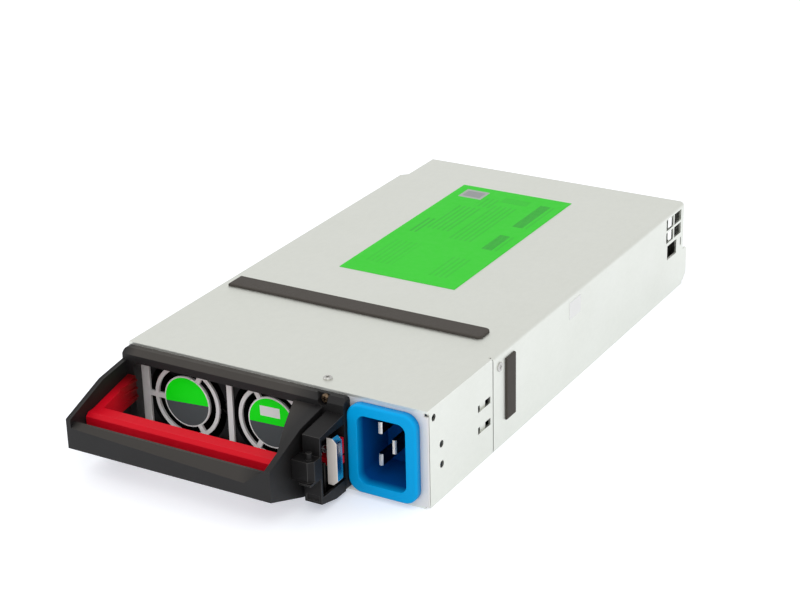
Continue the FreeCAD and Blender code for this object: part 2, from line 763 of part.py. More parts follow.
# ---- fans ----

def make_fan_frame(cx):
    half = fan_size / 2
    y0, y1 = sheet, sheet + fan_depth
    block = box(cx - half, cx + half, y0, y1, fan_z - half, fan_z + half)
    block = block.makeFillet(fan_corner, edges_along(block, V(0, 1, 0)))
    barrel = rod(half, V(cx, y0, fan_z), V(0, 1, 0), fan_depth)
    waist = box(cx - half, cx + half, y0 + fan_ear, y1 - fan_ear, fan_z - half, fan_z + half).cut(barrel)
    frame = cut(block, [waist, rod(fan_bore / 2, V(cx, y0, fan_z), V(0, 1, 0), fan_depth)])
    base = rod(hub_radius, V(cx, y1 - fan_base, fan_z), V(0, 1, 0), fan_base)
    tube = rod(bearing_tube_radius, V(cx, y1 - hub_depth, fan_z), V(0, 1, 0), hub_depth - fan_base)
    struts = []
    for i in range(4):
        strut = box(cx + hub_radius - 1, cx + fan_bore / 2 + strut_overlap, y1 - fan_base, y1,
                    fan_z - fan_strut_width / 2, fan_z + fan_strut_width / 2)
        strut.rotate(V(cx, 0, fan_z), V(0, 1, 0), 45 + 90 * i)
        struts.append(strut)
    frame = join([frame, base, tube] + struts)
    bearing = rod(shaft_radius + running_clearance, V(cx, 0, fan_z), V(0, 1, 0), y1 - 1)
    corner_holes = [rod(screw_radius + screw_hole_clearance, V(x, y0, z), V(0, 1, 0), fan_depth)
                    for x, z in fan_screw_places() if abs(x - cx) < half]
    return cut(frame, [bearing] + corner_holes)


def blade_section(radius, cx, y_mid):
    """A blade's section at one radius, turned to its pitch angle there."""
    pitch = math.radians(blade_root_pitch - blade_twist * (radius - hub_radius))
    chord = blade_root_chord + blade_spread * (radius - hub_radius)
    points = []
    for along, across in ((-0.5, 0), (-0.2, 0.55), (0.5, 0.2), (0.5, -0.2), (-0.2, -0.35)):
        u = along * chord
        w = across
        sweep = u * math.cos(pitch) - w * math.sin(pitch)
        y = y_mid + u * math.sin(pitch) + w * math.cos(pitch)
        points.append(V(cx + sweep, y, fan_z + math.sqrt(max(radius ** 2 - sweep ** 2, 1))))
    return Part.makePolygon(points + points[:1])


def make_fan_rotor(cx, hand):
    y0 = sheet + rotor_set_back
    y_mid = y0 + hub_depth / 2
    tip = fan_bore / 2 - blade_clearance
    axis = V(0, 1, 0)
    cup = rod(hub_radius - cup_gap, V(cx, y0, fan_z), axis, hub_depth)
    rim = [e for e in cup.Edges if len(e.Vertexes) == 1 and abs(e.CenterOfMass.y - y0) < 1e-6]
    cup = cup.makeFillet(cup_wall, rim)
    cup = cup.cut(rod(hub_radius - cup_gap - cup_wall, V(cx, y0 + cup_wall + cup_gap, fan_z), axis,
                      hub_depth))
    radii = (hub_radius - 1.0, (hub_radius + tip) / 2, tip + 1.5)
    blade = Part.makeLoft([blade_section(r, 0, 0) for r in radii], True, False)
    blade.translate(V(0, y_mid, 0))
    if hand < 0:
        blade = blade.mirror(V(0, 0, 0), V(1, 0, 0))
    blade.translate(V(cx, 0, 0))
    ring = rod(tip, V(cx, y0, fan_z), axis, hub_depth)
    ring = ring.cut(rod(hub_radius - 1.0, V(cx, y0, fan_z), axis, hub_depth))
    blade = blade.common(ring)
    blades = []
    for i in range(blade_count):
        copy = blade.copy()
        copy.rotate(V(cx, 0, fan_z), axis, i * 360 / blade_count)
        blades.append(copy)
    shaft = rod(shaft_radius, V(cx, y0 + cup_gap, fan_z), axis, fan_depth - shaft_short + cup_wall / 2)
    return join([cup, shaft] + blades)


def make_fan_stator(cx):
    """Four wound poles on the bearing tube, inside the rotor's cup."""
    y0 = sheet + rotor_set_back + stator_set_back
    length = hub_depth - stator_short
    core = rod(hub_radius - cup_gap - cup_wall - stator_gap, V(cx, y0, fan_z), V(0, 1, 0), length)
    tools = [rod(bearing_tube_radius, V(cx, y0, fan_z), V(0, 1, 0), length)]
    for i in range(4):
        gap = box(cx + stator_core, cx + hub_radius, y0, y0 + length,
                  fan_z - stator_slot / 2, fan_z + stator_slot / 2)
        gap.rotate(V(cx, 0, fan_z), V(0, 1, 0), 45 + 90 * i)
        tools.append(gap)
    return cut(core, tools)


# ---- inlet ----

def make_inlet_body():
    collar = rounded_along_y(inlet_x, inlet_z, collar_width, collar_height, collar_corner, -collar_proud, 0)
    front_rim = [e for e in collar.Edges if abs(e.CenterOfMass.y + collar_proud) < 1e-6]
    collar = collar.makeFillet(collar_bevel, front_rim)
    inner_w = collar_width - 2 * inlet_wall - 2 * cutout_clearance
    inner_h = collar_height - 2 * inlet_wall - 2 * cutout_clearance
    depth = cavity_depth + inlet_floor
    body = rounded_along_y(inlet_x, inlet_z, inner_w, inner_h, 2.0, 0, depth)
    cavity = rounded_along_y(inlet_x, inlet_z, cavity_width, cavity_height, cavity_corner, -collar_proud,
                             cavity_depth)
    body = join([collar, body]).cut(cavity)
    return cut(body, power_pins() + [earth_pin()])


def inlet_blade(x, z, height):
    blade = box(x - pin_width / 2, x + pin_width / 2, pin_setback, cavity_depth + inlet_floor + pin_tab,
                z - height / 2, z + height / 2)
    return blade.makeChamfer(0.5, edges_along(blade, V(0, 0, 1), lambda m: m.y < pin_setback + 0.1))


def power_pins():
    x = inlet_x - pin_line_offset
    return [inlet_blade(x, inlet_z + s * pin_spacing / 2, power_pin_height) for s in (-1, 1)]


def earth_pin():
    return inlet_blade(inlet_x + earth_pin_offset, inlet_z, earth_pin_height)


# ---- strips and labels ----

def make_top_gasket():
    strip = box(left + gasket_left, right - gasket_right, gasket_y, gasket_y + gasket_width, case_height,
                case_height + gasket_height)
    strip = strip.makeFillet(gasket_corner, edges_along(strip, V(0, 0, 1), lambda m: m.x > 0))
    top = [e for e in strip.Edges if abs(e.CenterOfMass.z - case_height - gasket_height) < 1e-6]
    return strip.makeFillet(gasket_edge, top)


def make_side_gasket():
    outer = right + side_gasket_proud
    strip = box(right, outer, side_gasket_y, side_gasket_y + side_gasket_width, side_gasket_bottom,
                side_gasket_top)
    rim = [e for e in strip.Edges if abs(e.CenterOfMass.x - outer) < 1e-6]
    return strip.makeChamfer(side_gasket_edge, rim)


# ---- inside ----

def make_main_board():
    z0, z1 = board_z, board_z + board_thickness
    x0, x1 = left + board_margin + rear_jog, right - board_margin
    board = join([box(x0, x1, board_front, board_back, z0, z1),
                  box(inlet_x - board_step, x1, filter_board_y(), board_front, z0, z1)])
    holes = [rod(screw_radius, V(x, y, z0), V(0, 0, 1), board_thickness) for x, y in standoff_places()]
    return cut(board, holes)


def standoff_places():
    x0, x1 = left + board_margin + rear_jog, right - board_margin
    xs = (x0 + standoff_inset, x1 - standoff_inset)
    middle = (board_front + board_back) / 2
    return [(x, y) for x in xs for y in (board_front + standoff_inset, middle, board_back - standoff_inset)]


def make_standoffs():
    height = board_z - sheet
    return [join([rod(standoff_radius, V(x, y, sheet), V(0, 0, 1), height),
                  rod(screw_radius - screw_hole_clearance, V(x, y, board_z), V(0, 0, 1), board_thickness)])
            for x, y in standoff_places()]


def make_insulator_sheet():
    x0, x1 = left + board_margin + rear_jog, right - board_margin
    film_sheet = box(x0, x1, board_front, board_back, sheet, sheet + insulator)
    return cut(film_sheet, [rod(standoff_radius + 0.2, V(x, y, sheet), V(0, 0, 1), insulator)
                            for x, y in standoff_places()])


def filter_board_y():
    return cavity_depth + inlet_floor + pin_tab - board_thickness - filter_board_proud


def make_filter_board():
    """Small upright board that the inlet's pins are soldered into."""
    y0 = filter_board_y()
    board = box(inlet_x - filter_board_width / 2, inlet_x + filter_board_width / 2, y0, y0 + board_thickness,
                board_top, lid_under - filter_board_headroom)
    return cut(board, power_pins() + [earth_pin()])


def make_transformer_core():
    cx, cy = core_centre
    top = lid_under - core_headroom
    core = box(cx - core_width / 2, cx + core_width / 2, cy - core_length / 2, cy + core_length / 2,
               board_top, top)
    windows = []
    for middle in (cx - core_width / 4, cx + core_width / 4):
        windows.append(box(middle - core_window / 2, middle + core_window / 2, cy - core_length / 2,
                           cy + core_length / 2, board_top + core_leg, top - core_leg))
    return cut(core, windows)


def make_transformer_winding():
    """Wound round the core's middle leg and standing out at both ends."""
    cx, cy = core_centre
    x_in = core_width / 4 - core_window / 2
    x_out = core_width / 4 + core_window / 2 - winding_gap
    low, high = board_top + core_leg + winding_gap, lid_under - core_headroom - core_leg - winding_gap
    outer = box(cx - x_out, cx + x_out, cy - winding_length / 2, cy + winding_length / 2, low, high)
    outer = outer.makeFillet(winding_corner, edges_along(outer, V(0, 0, 1)))
    return outer.cut(box(cx - x_in, cx + x_in, cy - core_length / 2, cy + core_length / 2, low, high))


def make_bulk_capacitors():
    height = lid_under - capacitor_headroom - board_top
    return [rod(capacitor_radius, V(right - inward, y, board_top), V(0, 0, 1), height)
            for inward, y in capacitors_in]


def ring_choke(cx, cy, outer, inner, height, corner):
    """Wound toroid lying flat on the board."""
    place, up = V(cx, cy, board_top), V(0, 0, 1)
    ring = rod(outer, place, up, height).cut(rod(inner, place, up, height))
    rims = [e for e in ring.Edges if len(e.Vertexes) == 1 and abs(e.CenterOfMass.z - board_top) % height < 1e-6]
    return ring.makeChamfer(corner, rims)


def fin_sink(x0, y0, width, length):
    """An extruded heat sink: a base on the board and upright fins along the air stream."""
    top = lid_under - sink_headroom
    pieces = [box(x0, x0 + width, y0, y0 + length, board_top, board_top + sink_base)]
    pitch = (width - sink_fin) / (sink_fins - 1)
    pieces += [box(x0 + i * pitch, x0 + i * pitch + sink_fin, y0, y0 + length, board_top, top)
               for i in range(sink_fins)]
    return join(pieces)


def make_output_connector():
    x0, x1 = connector_left, connector_left + connector_width
    end = case_depth + tongue_reach - connector_short
    z0, z1 = connector_bottom, connector_bottom + connector_height
    block = box(x0, x1, connector_front, end, z0, z1)
    rim = [e for e in block.Edges if abs(e.CenterOfMass.y - end) < 1e-6]
    block = block.makeChamfer(connector_chamfer, rim)
    half = contact_width / 2 + socket_side
    sockets = [box(x - half, x + half, end - socket_depth, end, z0 + socket_wall, z1 - socket_wall)
               for x in contact_xs()]
    return cut(block, sockets + make_output_contacts())


def contact_xs():
    pitch = connector_width / contact_count
    return [connector_left + (i + 0.5) * pitch for i in range(contact_count)]


def make_output_contacts():
    middle = connector_bottom + connector_height / 2
    end = case_depth + tongue_reach - connector_short - contact_recess
    return [box(x - contact_width / 2, x + contact_width / 2, board_back, end,
                middle - contact_thickness / 2, middle + contact_thickness / 2) for x in contact_xs()]


def build():
    """All nodes by name; a node of several like pieces is a list of solids."""
    nodes = {}
    nodes["base_tray"] = make_base_tray()
    nodes["front_panel"] = make_front_panel()
    nodes["top_cover"] = make_top_cover()
    nodes["rear_panel"] = make_rear_panel()
    nodes["bezel_handle"] = make_bezel_handle()
    nodes["latch_housing"] = make_latch_housing()
    nodes["release_lever"] = make_release_lever()
    nodes["drive_pin"] = make_drive_pin()
    nodes["latch_slide"] = make_latch_slide()
    nodes["latch_face"] = make_latch_face()
    nodes["lever_spring"] = make_lever_spring()
    seat = bezel_screw_place().add(V(0, bezel_depth - bezel_screw_seat, 0))
    nodes["bezel_screw"] = screw(seat, V(0, 1, 0), small_screw_radius, small_screw_head_radius, screw_head,
                                 bezel_screw_seat + sheet)
    nodes["fan_screws"] = [screw(V(x, 0, z), V(0, 1, 0), screw_radius, screw_head_radius, screw_head,
                                 fan_screw_length)
                           for x, z in fan_screw_places()]
    for side, cx, hand in zip(("left", "right"), fan_xs, (1, -1)):
        nodes["fan_frame_" + side] = make_fan_frame(cx)
        nodes["fan_rotor_" + side] = make_fan_rotor(cx, hand)
        nodes["fan_stator_" + side] = make_fan_stator(cx)
        nodes["fan_sticker_" + side] = rod(sticker_radius, V(cx, -film, fan_z), V(0, 1, 0), film)
    nodes["inlet_body"] = make_inlet_body()
    nodes["power_pins"] = power_pins()
    nodes["earth_pin"] = earth_pin()
    nodes["top_gasket"] = make_top_gasket()
    nodes["side_gasket"] = make_side_gasket()
    nodes["rating_label"] = box(left + label_left, left + label_left + label_width, label_y,
                                label_y + label_length,
                                case_height, case_height + film)
    nodes["side_label"] = box(right, right + film, side_label_y, side_label_y + side_label_width,
                              side_label_bottom, side_label_bottom + side_label_height)
    nodes["cover_screw"] = screw(V(cover_screw_x, cover_screw_y, case_height), V(0, 0, -1),
                                 small_screw_radius,
                                 small_screw_head_radius, cover_screw_head, 2 * sheet)
    nodes["side_rivet"] = screw(V(right, rivet_y, rivet_z), V(-1, 0, 0), rivet_radius, rivet_head_radius,
                                rivet_head, 2.0)
    nodes["main_board"] = make_main_board()
    nodes["board_standoffs"] = make_standoffs()
    nodes["insulator_sheet"] = make_insulator_sheet()
    nodes["filter_board"] = make_filter_board()
    nodes["transformer_core"] = make_transformer_core()
    nodes["transformer_winding"] = make_transformer_winding()
    nodes["bulk_capacitors"] = make_bulk_capacitors()
    nodes["power_factor_choke"] = ring_choke(left + boost_choke[0], *boost_choke[1:])
    nodes["filter_choke"] = ring_choke(inlet_x + filter_choke[0], *filter_choke[1:])
    nodes["primary_heat_sink"] = fin_sink(right - primary_sink[0], *primary_sink[1:])
    nodes["secondary_heat_sink"] = fin_sink(left + secondary_sink[0], *secondary_sink[1:])
    nodes["output_connector"] = make_output_connector()
    nodes["output_contacts"] = make_output_contacts()
    return nodes


def main():
    os.makedirs("parts", exist_ok=True)
    to_origin = V(0, -case_depth / 2, 0)
    for name, piece in build().items():
        shape = Part.makeCompound(piece) if isinstance(piece, list) else piece
        shape.translate(to_origin)
        shape.exportStep("parts/" + name + ".step")


main()
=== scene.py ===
"""Looks of a hot swap server power supply, laid out as a Blender add-on and run as a script."""
import json
import math

import bpy
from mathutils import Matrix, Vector

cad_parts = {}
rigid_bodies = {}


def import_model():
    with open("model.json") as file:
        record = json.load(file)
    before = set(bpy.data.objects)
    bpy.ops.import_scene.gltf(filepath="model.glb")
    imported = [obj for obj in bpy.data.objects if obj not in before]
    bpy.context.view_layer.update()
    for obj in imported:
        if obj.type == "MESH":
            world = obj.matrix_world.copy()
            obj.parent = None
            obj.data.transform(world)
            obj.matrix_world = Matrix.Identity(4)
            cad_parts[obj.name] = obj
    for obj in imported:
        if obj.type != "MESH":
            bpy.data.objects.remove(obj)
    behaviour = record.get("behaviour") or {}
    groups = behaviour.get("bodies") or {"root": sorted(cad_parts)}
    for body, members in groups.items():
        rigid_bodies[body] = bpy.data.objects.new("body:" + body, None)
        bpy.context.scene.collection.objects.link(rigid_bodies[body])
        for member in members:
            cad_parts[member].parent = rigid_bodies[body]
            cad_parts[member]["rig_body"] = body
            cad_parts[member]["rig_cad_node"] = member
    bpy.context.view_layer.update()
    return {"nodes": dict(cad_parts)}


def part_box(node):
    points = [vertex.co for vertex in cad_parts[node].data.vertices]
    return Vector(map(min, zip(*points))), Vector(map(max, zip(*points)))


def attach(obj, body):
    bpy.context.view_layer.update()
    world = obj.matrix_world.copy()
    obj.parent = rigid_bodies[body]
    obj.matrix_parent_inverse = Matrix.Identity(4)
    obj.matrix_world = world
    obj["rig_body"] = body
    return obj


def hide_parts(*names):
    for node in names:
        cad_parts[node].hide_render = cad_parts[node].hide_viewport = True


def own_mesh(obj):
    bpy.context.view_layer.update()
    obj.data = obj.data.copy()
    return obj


bl_info = {
    "name": "Hot swap power supply looks",
    "version": (1, 0, 0),
    "blender": (4, 5, 0),
    "location": "3D View > Sidebar > Power supply",
    "description": "Dresses the packed power supply in its sheet metal, mouldings, labels and studio",
    "category": "Object",
}

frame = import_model()

MM = 0.001
SIDES = ("left", "right")


# ---- colours and nodes ----

NOISE_LOW, NOISE_HIGH = 0.3, 0.7  # nearly all values of a noise texture lie between these
BAND = math.tau / 20              # a wave texture's bands lie this far apart at a scale of 1


def linear(hex_colour):
    """sRGB hex such as "#d0d0cc" as linear RGBA."""
    parts = [int(hex_colour[i:i + 2], 16) / 255 for i in (1, 3, 5)]
    return tuple(c / 12.92 if c <= 0.04045 else ((c + 0.055) / 1.055) ** 2.4 for c in parts) + (1.0,)


def add(tree, kind, inputs=None, **settings):
    """One node with its settings; each input is a value or the output it is linked from."""
    made = tree.nodes.new(kind)
    for name, value in settings.items():
        setattr(made, name, value)
    for name, value in (inputs or {}).items():
        if isinstance(value, bpy.types.NodeSocket):
            tree.links.new(value, made.inputs[name])
        else:
            made.inputs[name].default_value = value
    return made


def new_material(name):
    """An empty material, with its node tree and the object's own coordinates in metres."""
    material = bpy.data.materials.new(name)
    material.use_nodes = True
    tree = material.node_tree
    tree.nodes.clear()
    place = add(tree, "ShaderNodeTexCoord").outputs["Object"]
    return material, tree, place


def finish_material(tree, colour, roughness, relief=None, **sockets):
    """The surface itself. roughness is one value, or a pattern and the roughness where it is low and high.
    relief is a pattern, the height in millimetres that it stands for and how strongly it shows. Extra
    sockets are given by name, with _ for each space."""
    inputs = {"Base Color": colour, "Roughness": roughness}
    if isinstance(roughness, tuple):
        pattern, low, high = roughness
        inputs["Roughness"] = add(tree, "ShaderNodeMapRange",
                                  {"Value": pattern, "From Min": NOISE_LOW, "From Max": NOISE_HIGH,
                                   "To Min": low, "To Max": high}).outputs["Result"]
    if relief:
        pattern, height_mm, strength = relief
        inputs["Normal"] = add(tree, "ShaderNodeBump", {"Height": pattern, "Distance": height_mm * MM,
                                                        "Strength": strength}).outputs["Normal"]
    inputs.update({name.replace("_", " "): value for name, value in sockets.items()})
    shader = add(tree, "ShaderNodeBsdfPrincipled", inputs)
    add(tree, "ShaderNodeOutputMaterial", {"Surface": shader.outputs["BSDF"]})


def layered(tree, base, *layers):
    """A base colour with others laid over it in turn, each as thick as its own mask says."""
    tone = base
    for mask, colour in layers:
        tone = add(tree, "ShaderNodeMix", {"Factor": mask, "A": tone, "B": colour},
                   data_type="RGBA").outputs["Result"]
    return tone


def grain(tree, place, size_mm, detail=3.0, stretch=(1, 1, 1)):
    """Noise whose spots are about size_mm across, and longer along an axis whose stretch is under 1."""
    scaled = add(tree, "ShaderNodeMapping", {"Vector": place, "Scale": stretch}).outputs["Vector"]
    return add(tree, "ShaderNodeTexNoise", {"Vector": scaled, "Scale": 1 / (size_mm * MM), "Detail": detail,
                                            "Roughness": 0.6}).outputs["Fac"]


def facing(tree, axis, low, high):
    """0 on faces whose normal has less than low along an axis, rising to 1 at high."""
    normal = add(tree, "ShaderNodeNewGeometry").outputs["Normal"]
    along = add(tree, "ShaderNodeSeparateXYZ", {"Vector": normal}).outputs[axis]
    return add(tree, "ShaderNodeMapRange", {"Value": along, "From Min": low,
                                            "From Max": high}).outputs["Result"]


def ramp(tree, place, axis, start, end):
    """0 before start and 1 after end along an axis; end may be the lower of the two."""
    along = add(tree, "ShaderNodeSeparateXYZ", {"Vector": place}).outputs[axis]
    return add(tree, "ShaderNodeMapRange", {"Value": along, "From Min": start,
                                            "From Max": end}).outputs["Result"]


def block_mask(tree, place, axes, low_a, high_a, low_b, high_b):
    """1 inside a rectangle given in metres along two axes, 0 outside."""
    split = add(tree, "ShaderNodeSeparateXYZ", {"Vector": place}).outputs
    inside = []
    for axis, low, high in ((axes[0], low_a, high_a), (axes[1], low_b, high_b)):
        inside.append(add(tree, "ShaderNodeMath", {0: split[axis], 1: (low + high) / 2, 2: (high - low) / 2},
                          operation="COMPARE").outputs["Value"])
    return add(tree, "ShaderNodeMath", {0: inside[0], 1: inside[1]}, operation="MULTIPLY").outputs["Value"]


def even_lines(tree, place, axis, pitch_mm, share):
    """1 on straight lines at an even pitch along an axis, 0 between them."""
    along = add(tree, "ShaderNodeSeparateXYZ", {"Vector": place}).outputs[axis]
    turns = add(tree, "ShaderNodeMath", {0: along, 1: 1 / (pitch_mm * MM)},
                operation="MULTIPLY").outputs["Value"]
    part = add(tree, "ShaderNodeMath", {0: turns}, operation="FRACT").outputs["Value"]
    return add(tree, "ShaderNodeMath", {0: part, 1: share}, operation="LESS_THAN").outputs["Value"]


# ---- materials ----

def dull_sheet(name, base, bright, rough=0.42, metallic=1.0):
    """Cold-rolled sheet with clear zinc plating, or a plain aluminium extrusion: a soft even grey sheen with
    a faint mottle, and a few duller patches of about 34 mm where hands and slides have rubbed it. The mottle
    of well under 1 mm is drawn at 2.2 mm so that it shows. Matt passivation is less than fully metallic."""
    material, tree, place = new_material(name)
    mottle = grain(tree, place, 2.2, 4.0, (1.0, 0.6, 1.0))
    patches = grain(tree, place, 34.0, 4.0)
    finish_material(tree, layered(tree, base, (mottle, bright)), (patches, rough - 0.05, rough + 0.06),
                    (mottle, 0.01, 0.15), Metallic=metallic)
    return material


def moulded_plastic(name, colour, worn, rough, pits_mm=0.5, depth_mm=0.02, gloss=0.5, painted_top_light=None, deep=None):
    """Injection-moulded plastic with a spark-eroded texture: fine even pits that break up the highlights.
    Boards, ferrite and capacitor sleeves have much the same matt skin. The pits of about 0.1 mm are drawn
    pits_mm wide so that they show. The tone for the faces that look up is a painted highlight standing in for
    light from above, given with the low and high x between which it lies. The darker tone along y is painted
    shade, given with the y where it starts and where it is full."""
    material, tree, place = new_material(name)
    pits = grain(tree, place, pits_mm, 2.0)
    cloud = grain(tree, place, 15.0)
    layers = [(cloud, worn)]
    if painted_top_light:
        grey, low_x, high_x = painted_top_light
        # painted highlight: faces that look up turn greyer, standing in for light from above, fading out
        # towards both x ends
        top_light_mask = facing(tree, "Z", 0.15, 0.75)
        for end_x, fade in ((low_x, 5 * MM), (high_x, -12 * MM)):
            within = ramp(tree, place, "X", end_x, end_x + fade)
            top_light_mask = add(tree, "ShaderNodeMath", {0: top_light_mask, 1: within}, operation="MULTIPLY").outputs["Value"]
        layers.append((top_light_mask, grey))
    if deep:
        # painted shade: the colour darkens along y
        dark, start_y, full_y = deep
        layers.append((ramp(tree, place, "Y", start_y, full_y), dark))
    finish_material(tree, layered(tree, colour, *layers), (cloud, rough - 0.04, rough + 0.05),
                    (pits, depth_mm, 0.5), IOR=1.5, Specular_IOR_Level=gloss)
    return material


def inlet_plastic(name, collar, cavity, start_y, full_y):
    """Smooth moulding with a fine skin. From start_y to full_y down the cavity the colour darkens to the
    cavity tone, a painted shade where little light gets in.
    """
    material, tree, place = new_material(name)
    cavity_shade_mask = ramp(tree, place, "Y", start_y, full_y)
    finish_material(tree, layered(tree, collar, (cavity_shade_mask, cavity)), (grain(tree, place, 6.0), 0.36, 0.44),
                    (grain(tree, place, 0.6, 2.0), 0.01, 0.4), IOR=1.5, Specular_IOR_Level=0.1)
    return material


def blade_metal(name, nose, side, nose_end_y):
    """Nickel-plated brass blade: the nose keeps the plating's bright colour, and behind it the sides are
    painted dark, a painted shade where the blade runs back into the inlet.
    """
    material, tree, place = new_material(name)
    depth = add(tree, "ShaderNodeSeparateXYZ", {"Vector": place}).outputs["Y"]
    behind = add(tree, "ShaderNodeMath", {0: depth, 1: nose_end_y}, operation="GREATER_THAN").outputs["Value"]
    wear = grain(tree, place, 0.7, 4.0, (1.0, 0.2, 1.0))
    finish_material(tree, layered(tree, nose, (behind, side)), (wear, 0.25, 0.4), (wear, 0.01, 0.3),
                    Metallic=1.0)
    return material


def handling_marks(tree, place):
    """Upright hairlines from handling, drawn about 0.4 mm apart so that they show."""
    return grain(tree, place, 0.4, 5.0, (1.0, 1.0, 0.15))


def plated_metal(name, colour, rough):
    """Bright nickel or zinc plating on a stamped, turned or drawn part, with hairline handling marks."""
    material, tree, place = new_material(name)
    marks = handling_marks(tree, place)
    finish_material(tree, colour, (marks, rough * 0.7, rough * 1.4), (marks, 0.006, 0.3), Metallic=1.0)
    return material


def nickel_with_painted_front_highlight(name, side, nose):
    """Nickel-plated strip whose faces that look forward are a painted highlight, pale near-white, non-metal
    and rougher, while its cheeks stay bright nickel.
    """
    material, tree, place = new_material(name)
    # painted highlight on the faces that look forward
    front = facing(tree, "Y", -0.4, -0.7)
    rough = add(tree, "ShaderNodeMix", {"Factor": front, "A": 0.2, "B": 0.5}).outputs["Result"]
    metal = add(tree, "ShaderNodeMix", {"Factor": front, "A": 1.0, "B": 0.0}).outputs["Result"]
    finish_material(tree, layered(tree, side, (front, nose)), rough,
                    (handling_marks(tree, place), 0.006, 0.3), Metallic=metal)
    return material


def round_sticker(name, low, high, upper, lower, pale, turn_deg, tag_mm):
    """Printed polyester film: two colour fields that meet on a straight line just under the centre, inside
    a thin pale rim. The tag is a bare pale rectangle, given by its low x, high x, low z and high z from the
    centre. The film was put on by hand, a few degrees out of level."""
    rim_width, split_drop = 0.15 * MM, 0.6 * MM
    material, tree, flat = new_material(name)
    centre = (low + high) / 2
    rim_radius = (high.x - low.x) / 2 - rim_width
    place = add(tree, "ShaderNodeVectorRotate", {"Vector": flat, "Center": centre, "Axis": (0, 1, 0),
                                                 "Angle": math.radians(turn_deg)}).outputs["Vector"]
    centred = add(tree, "ShaderNodeVectorMath", {0: place, 1: centre}, operation="SUBTRACT").outputs["Vector"]
    distance = add(tree, "ShaderNodeVectorMath", {0: centred}, operation="LENGTH").outputs["Value"]
    height = add(tree, "ShaderNodeSeparateXYZ", {"Vector": place}).outputs["Z"]
    above = add(tree, "ShaderNodeMath", {0: height, 1: centre.z - split_drop},
                operation="GREATER_THAN").outputs["Value"]
    rim = add(tree, "ShaderNodeMath", {0: distance, 1: rim_radius}, operation="GREATER_THAN").outputs["Value"]
    layers = [(above, upper), (rim, pale)]
    if tag_mm:
        left, right, under, over = (side * MM for side in tag_mm)
        layers.append((block_mask(tree, place, "XZ", centre.x + left, centre.x + right,
                                  centre.z + under, centre.z + over), pale))
    finish_material(tree, layered(tree, lower, *layers), (grain(tree, place, 2.0), 0.35, 0.45), IOR=1.5,
                    Specular_IOR_Level=0.2)
    return material


def printed_label(name, low, high, s):
    """Printed polyester film on the lid. The print is only bare rules, hatched blocks and pale patches,
    each given by the share of the width and of the length where it starts and ends, and how dense it is."""
    material, tree, place = new_material(name)
    width, length = high.x - low.x, high.y - low.y
    rules = even_lines(tree, place, "X", 2.6, 0.45)
    hatch = even_lines(tree, place, "Y", 1.3, 0.55)
    ink = s.green_ink
    blocks = [(0.09, 0.17, 0.44, 0.60, rules, ink, 0.34), (0.17, 0.40, 0.50, 0.78, rules, ink, 0.20),
              (0.44, 0.66, 0.44, 0.84, rules, ink, 0.16), (0.30, 0.44, 0.80, 0.90, rules, ink, 0.16),
              (0.46, 0.70, 0.88, 0.94, hatch, ink, 0.22), (0.66, 0.86, 0.08, 0.28, rules, ink, 0.13),
              (0.10, 0.34, 0.10, 0.34, rules, ink, 0.10), (0.80, 0.89, 0.66, 0.92, hatch, ink, 0.75),
              (0.80, 0.89, 0.40, 0.56, hatch, ink, 0.75), (0.91, 0.93, 0.66, 0.92, hatch, ink, 0.30),
              (0.91, 0.93, 0.40, 0.56, hatch, ink, 0.30), (0.08, 0.29, 0.87, 0.96, None, s.patch, 0.85),
              (0.105, 0.265, 0.885, 0.945, None, s.patch_core, 0.6),
              (0.105, 0.265, 0.885, 0.945, hatch, s.patch, 0.5)]
    layers = [(grain(tree, place, 30.0, 2.0), s.green_cloud)]
    for x_start, x_end, y_start, y_end, pattern, colour, density in blocks:
        mask = block_mask(tree, place, "XY", low.x + x_start * width, low.x + x_end * width,
                          low.y + y_start * length, low.y + y_end * length)
        for factor in (pattern, density):
            if factor is not None:
                mask = add(tree, "ShaderNodeMath", {0: mask, 1: factor},
                           operation="MULTIPLY").outputs["Value"]
        layers.append((mask, colour))
    finish_material(tree, layered(tree, s.green, *layers), (grain(tree, place, 3.0), 0.5, 0.6), IOR=1.5,
                    Specular_IOR_Level=0.15)
    return material


def plain_film(name, colour, rough=0.5):
    """Uncoated label film with a slightly uneven surface."""
    material, tree, place = new_material(name)
    uneven = grain(tree, place, 4.0)
    finish_material(tree, colour, (uneven, rough - 0.05, rough + 0.05), (uneven, 0.01, 0.3), IOR=1.5)
    return material


def woven_gasket(name, dark, light):
    """Conductive cloth glued round a foam core: a plain weave with threads about 0.3 mm apart, drawn at
    about 0.5 mm so that it shows."""
    material, tree, place = new_material(name)
    threads = []
    for direction in ("X", "Y"):
        wave = add(tree, "ShaderNodeTexWave", {"Vector": place, "Scale": BAND / (0.503 * MM),
                                               "Distortion": 0.4}, bands_direction=direction)
        threads.append(wave.outputs["Fac"])
    weave = add(tree, "ShaderNodeMath", {0: threads[0], 1: threads[1]}, operation="MULTIPLY").outputs["Value"]
    finish_material(tree, layered(tree, dark, (weave, light)), 0.75, (weave, 0.08, 0.6))
    return material


def enamelled_winding(name):
    """Turns of enamelled copper wire lying side by side. The wire of about 1 mm is drawn at about 2 mm so
    that the turns show."""
    material, tree, place = new_material(name)
    turns = add(tree, "ShaderNodeTexWave", {"Vector": place, "Scale": BAND / (1.96 * MM), "Distortion": 0.6},
                bands_direction="Z").outputs["Fac"]
    finish_material(tree, layered(tree, linear("#5a2f12"), (turns, linear("#b0682c"))), 0.35,
                    (turns, 0.3, 0.8), Metallic=0.7)
    return material


# ---- mesh helpers ----

DOUBLE = 0.002 * MM         # corners nearer to each other than this are one corner
FLAT = math.radians(1.0)    # faces that turn less than this are one face
ROUNDED = math.radians(28)  # edges that turn more than this are rounded
SHARP = math.radians(35)    # edges that turn more than this look sharp
REACH = 0.1 * MM            # how far round a place its vertices are looked for


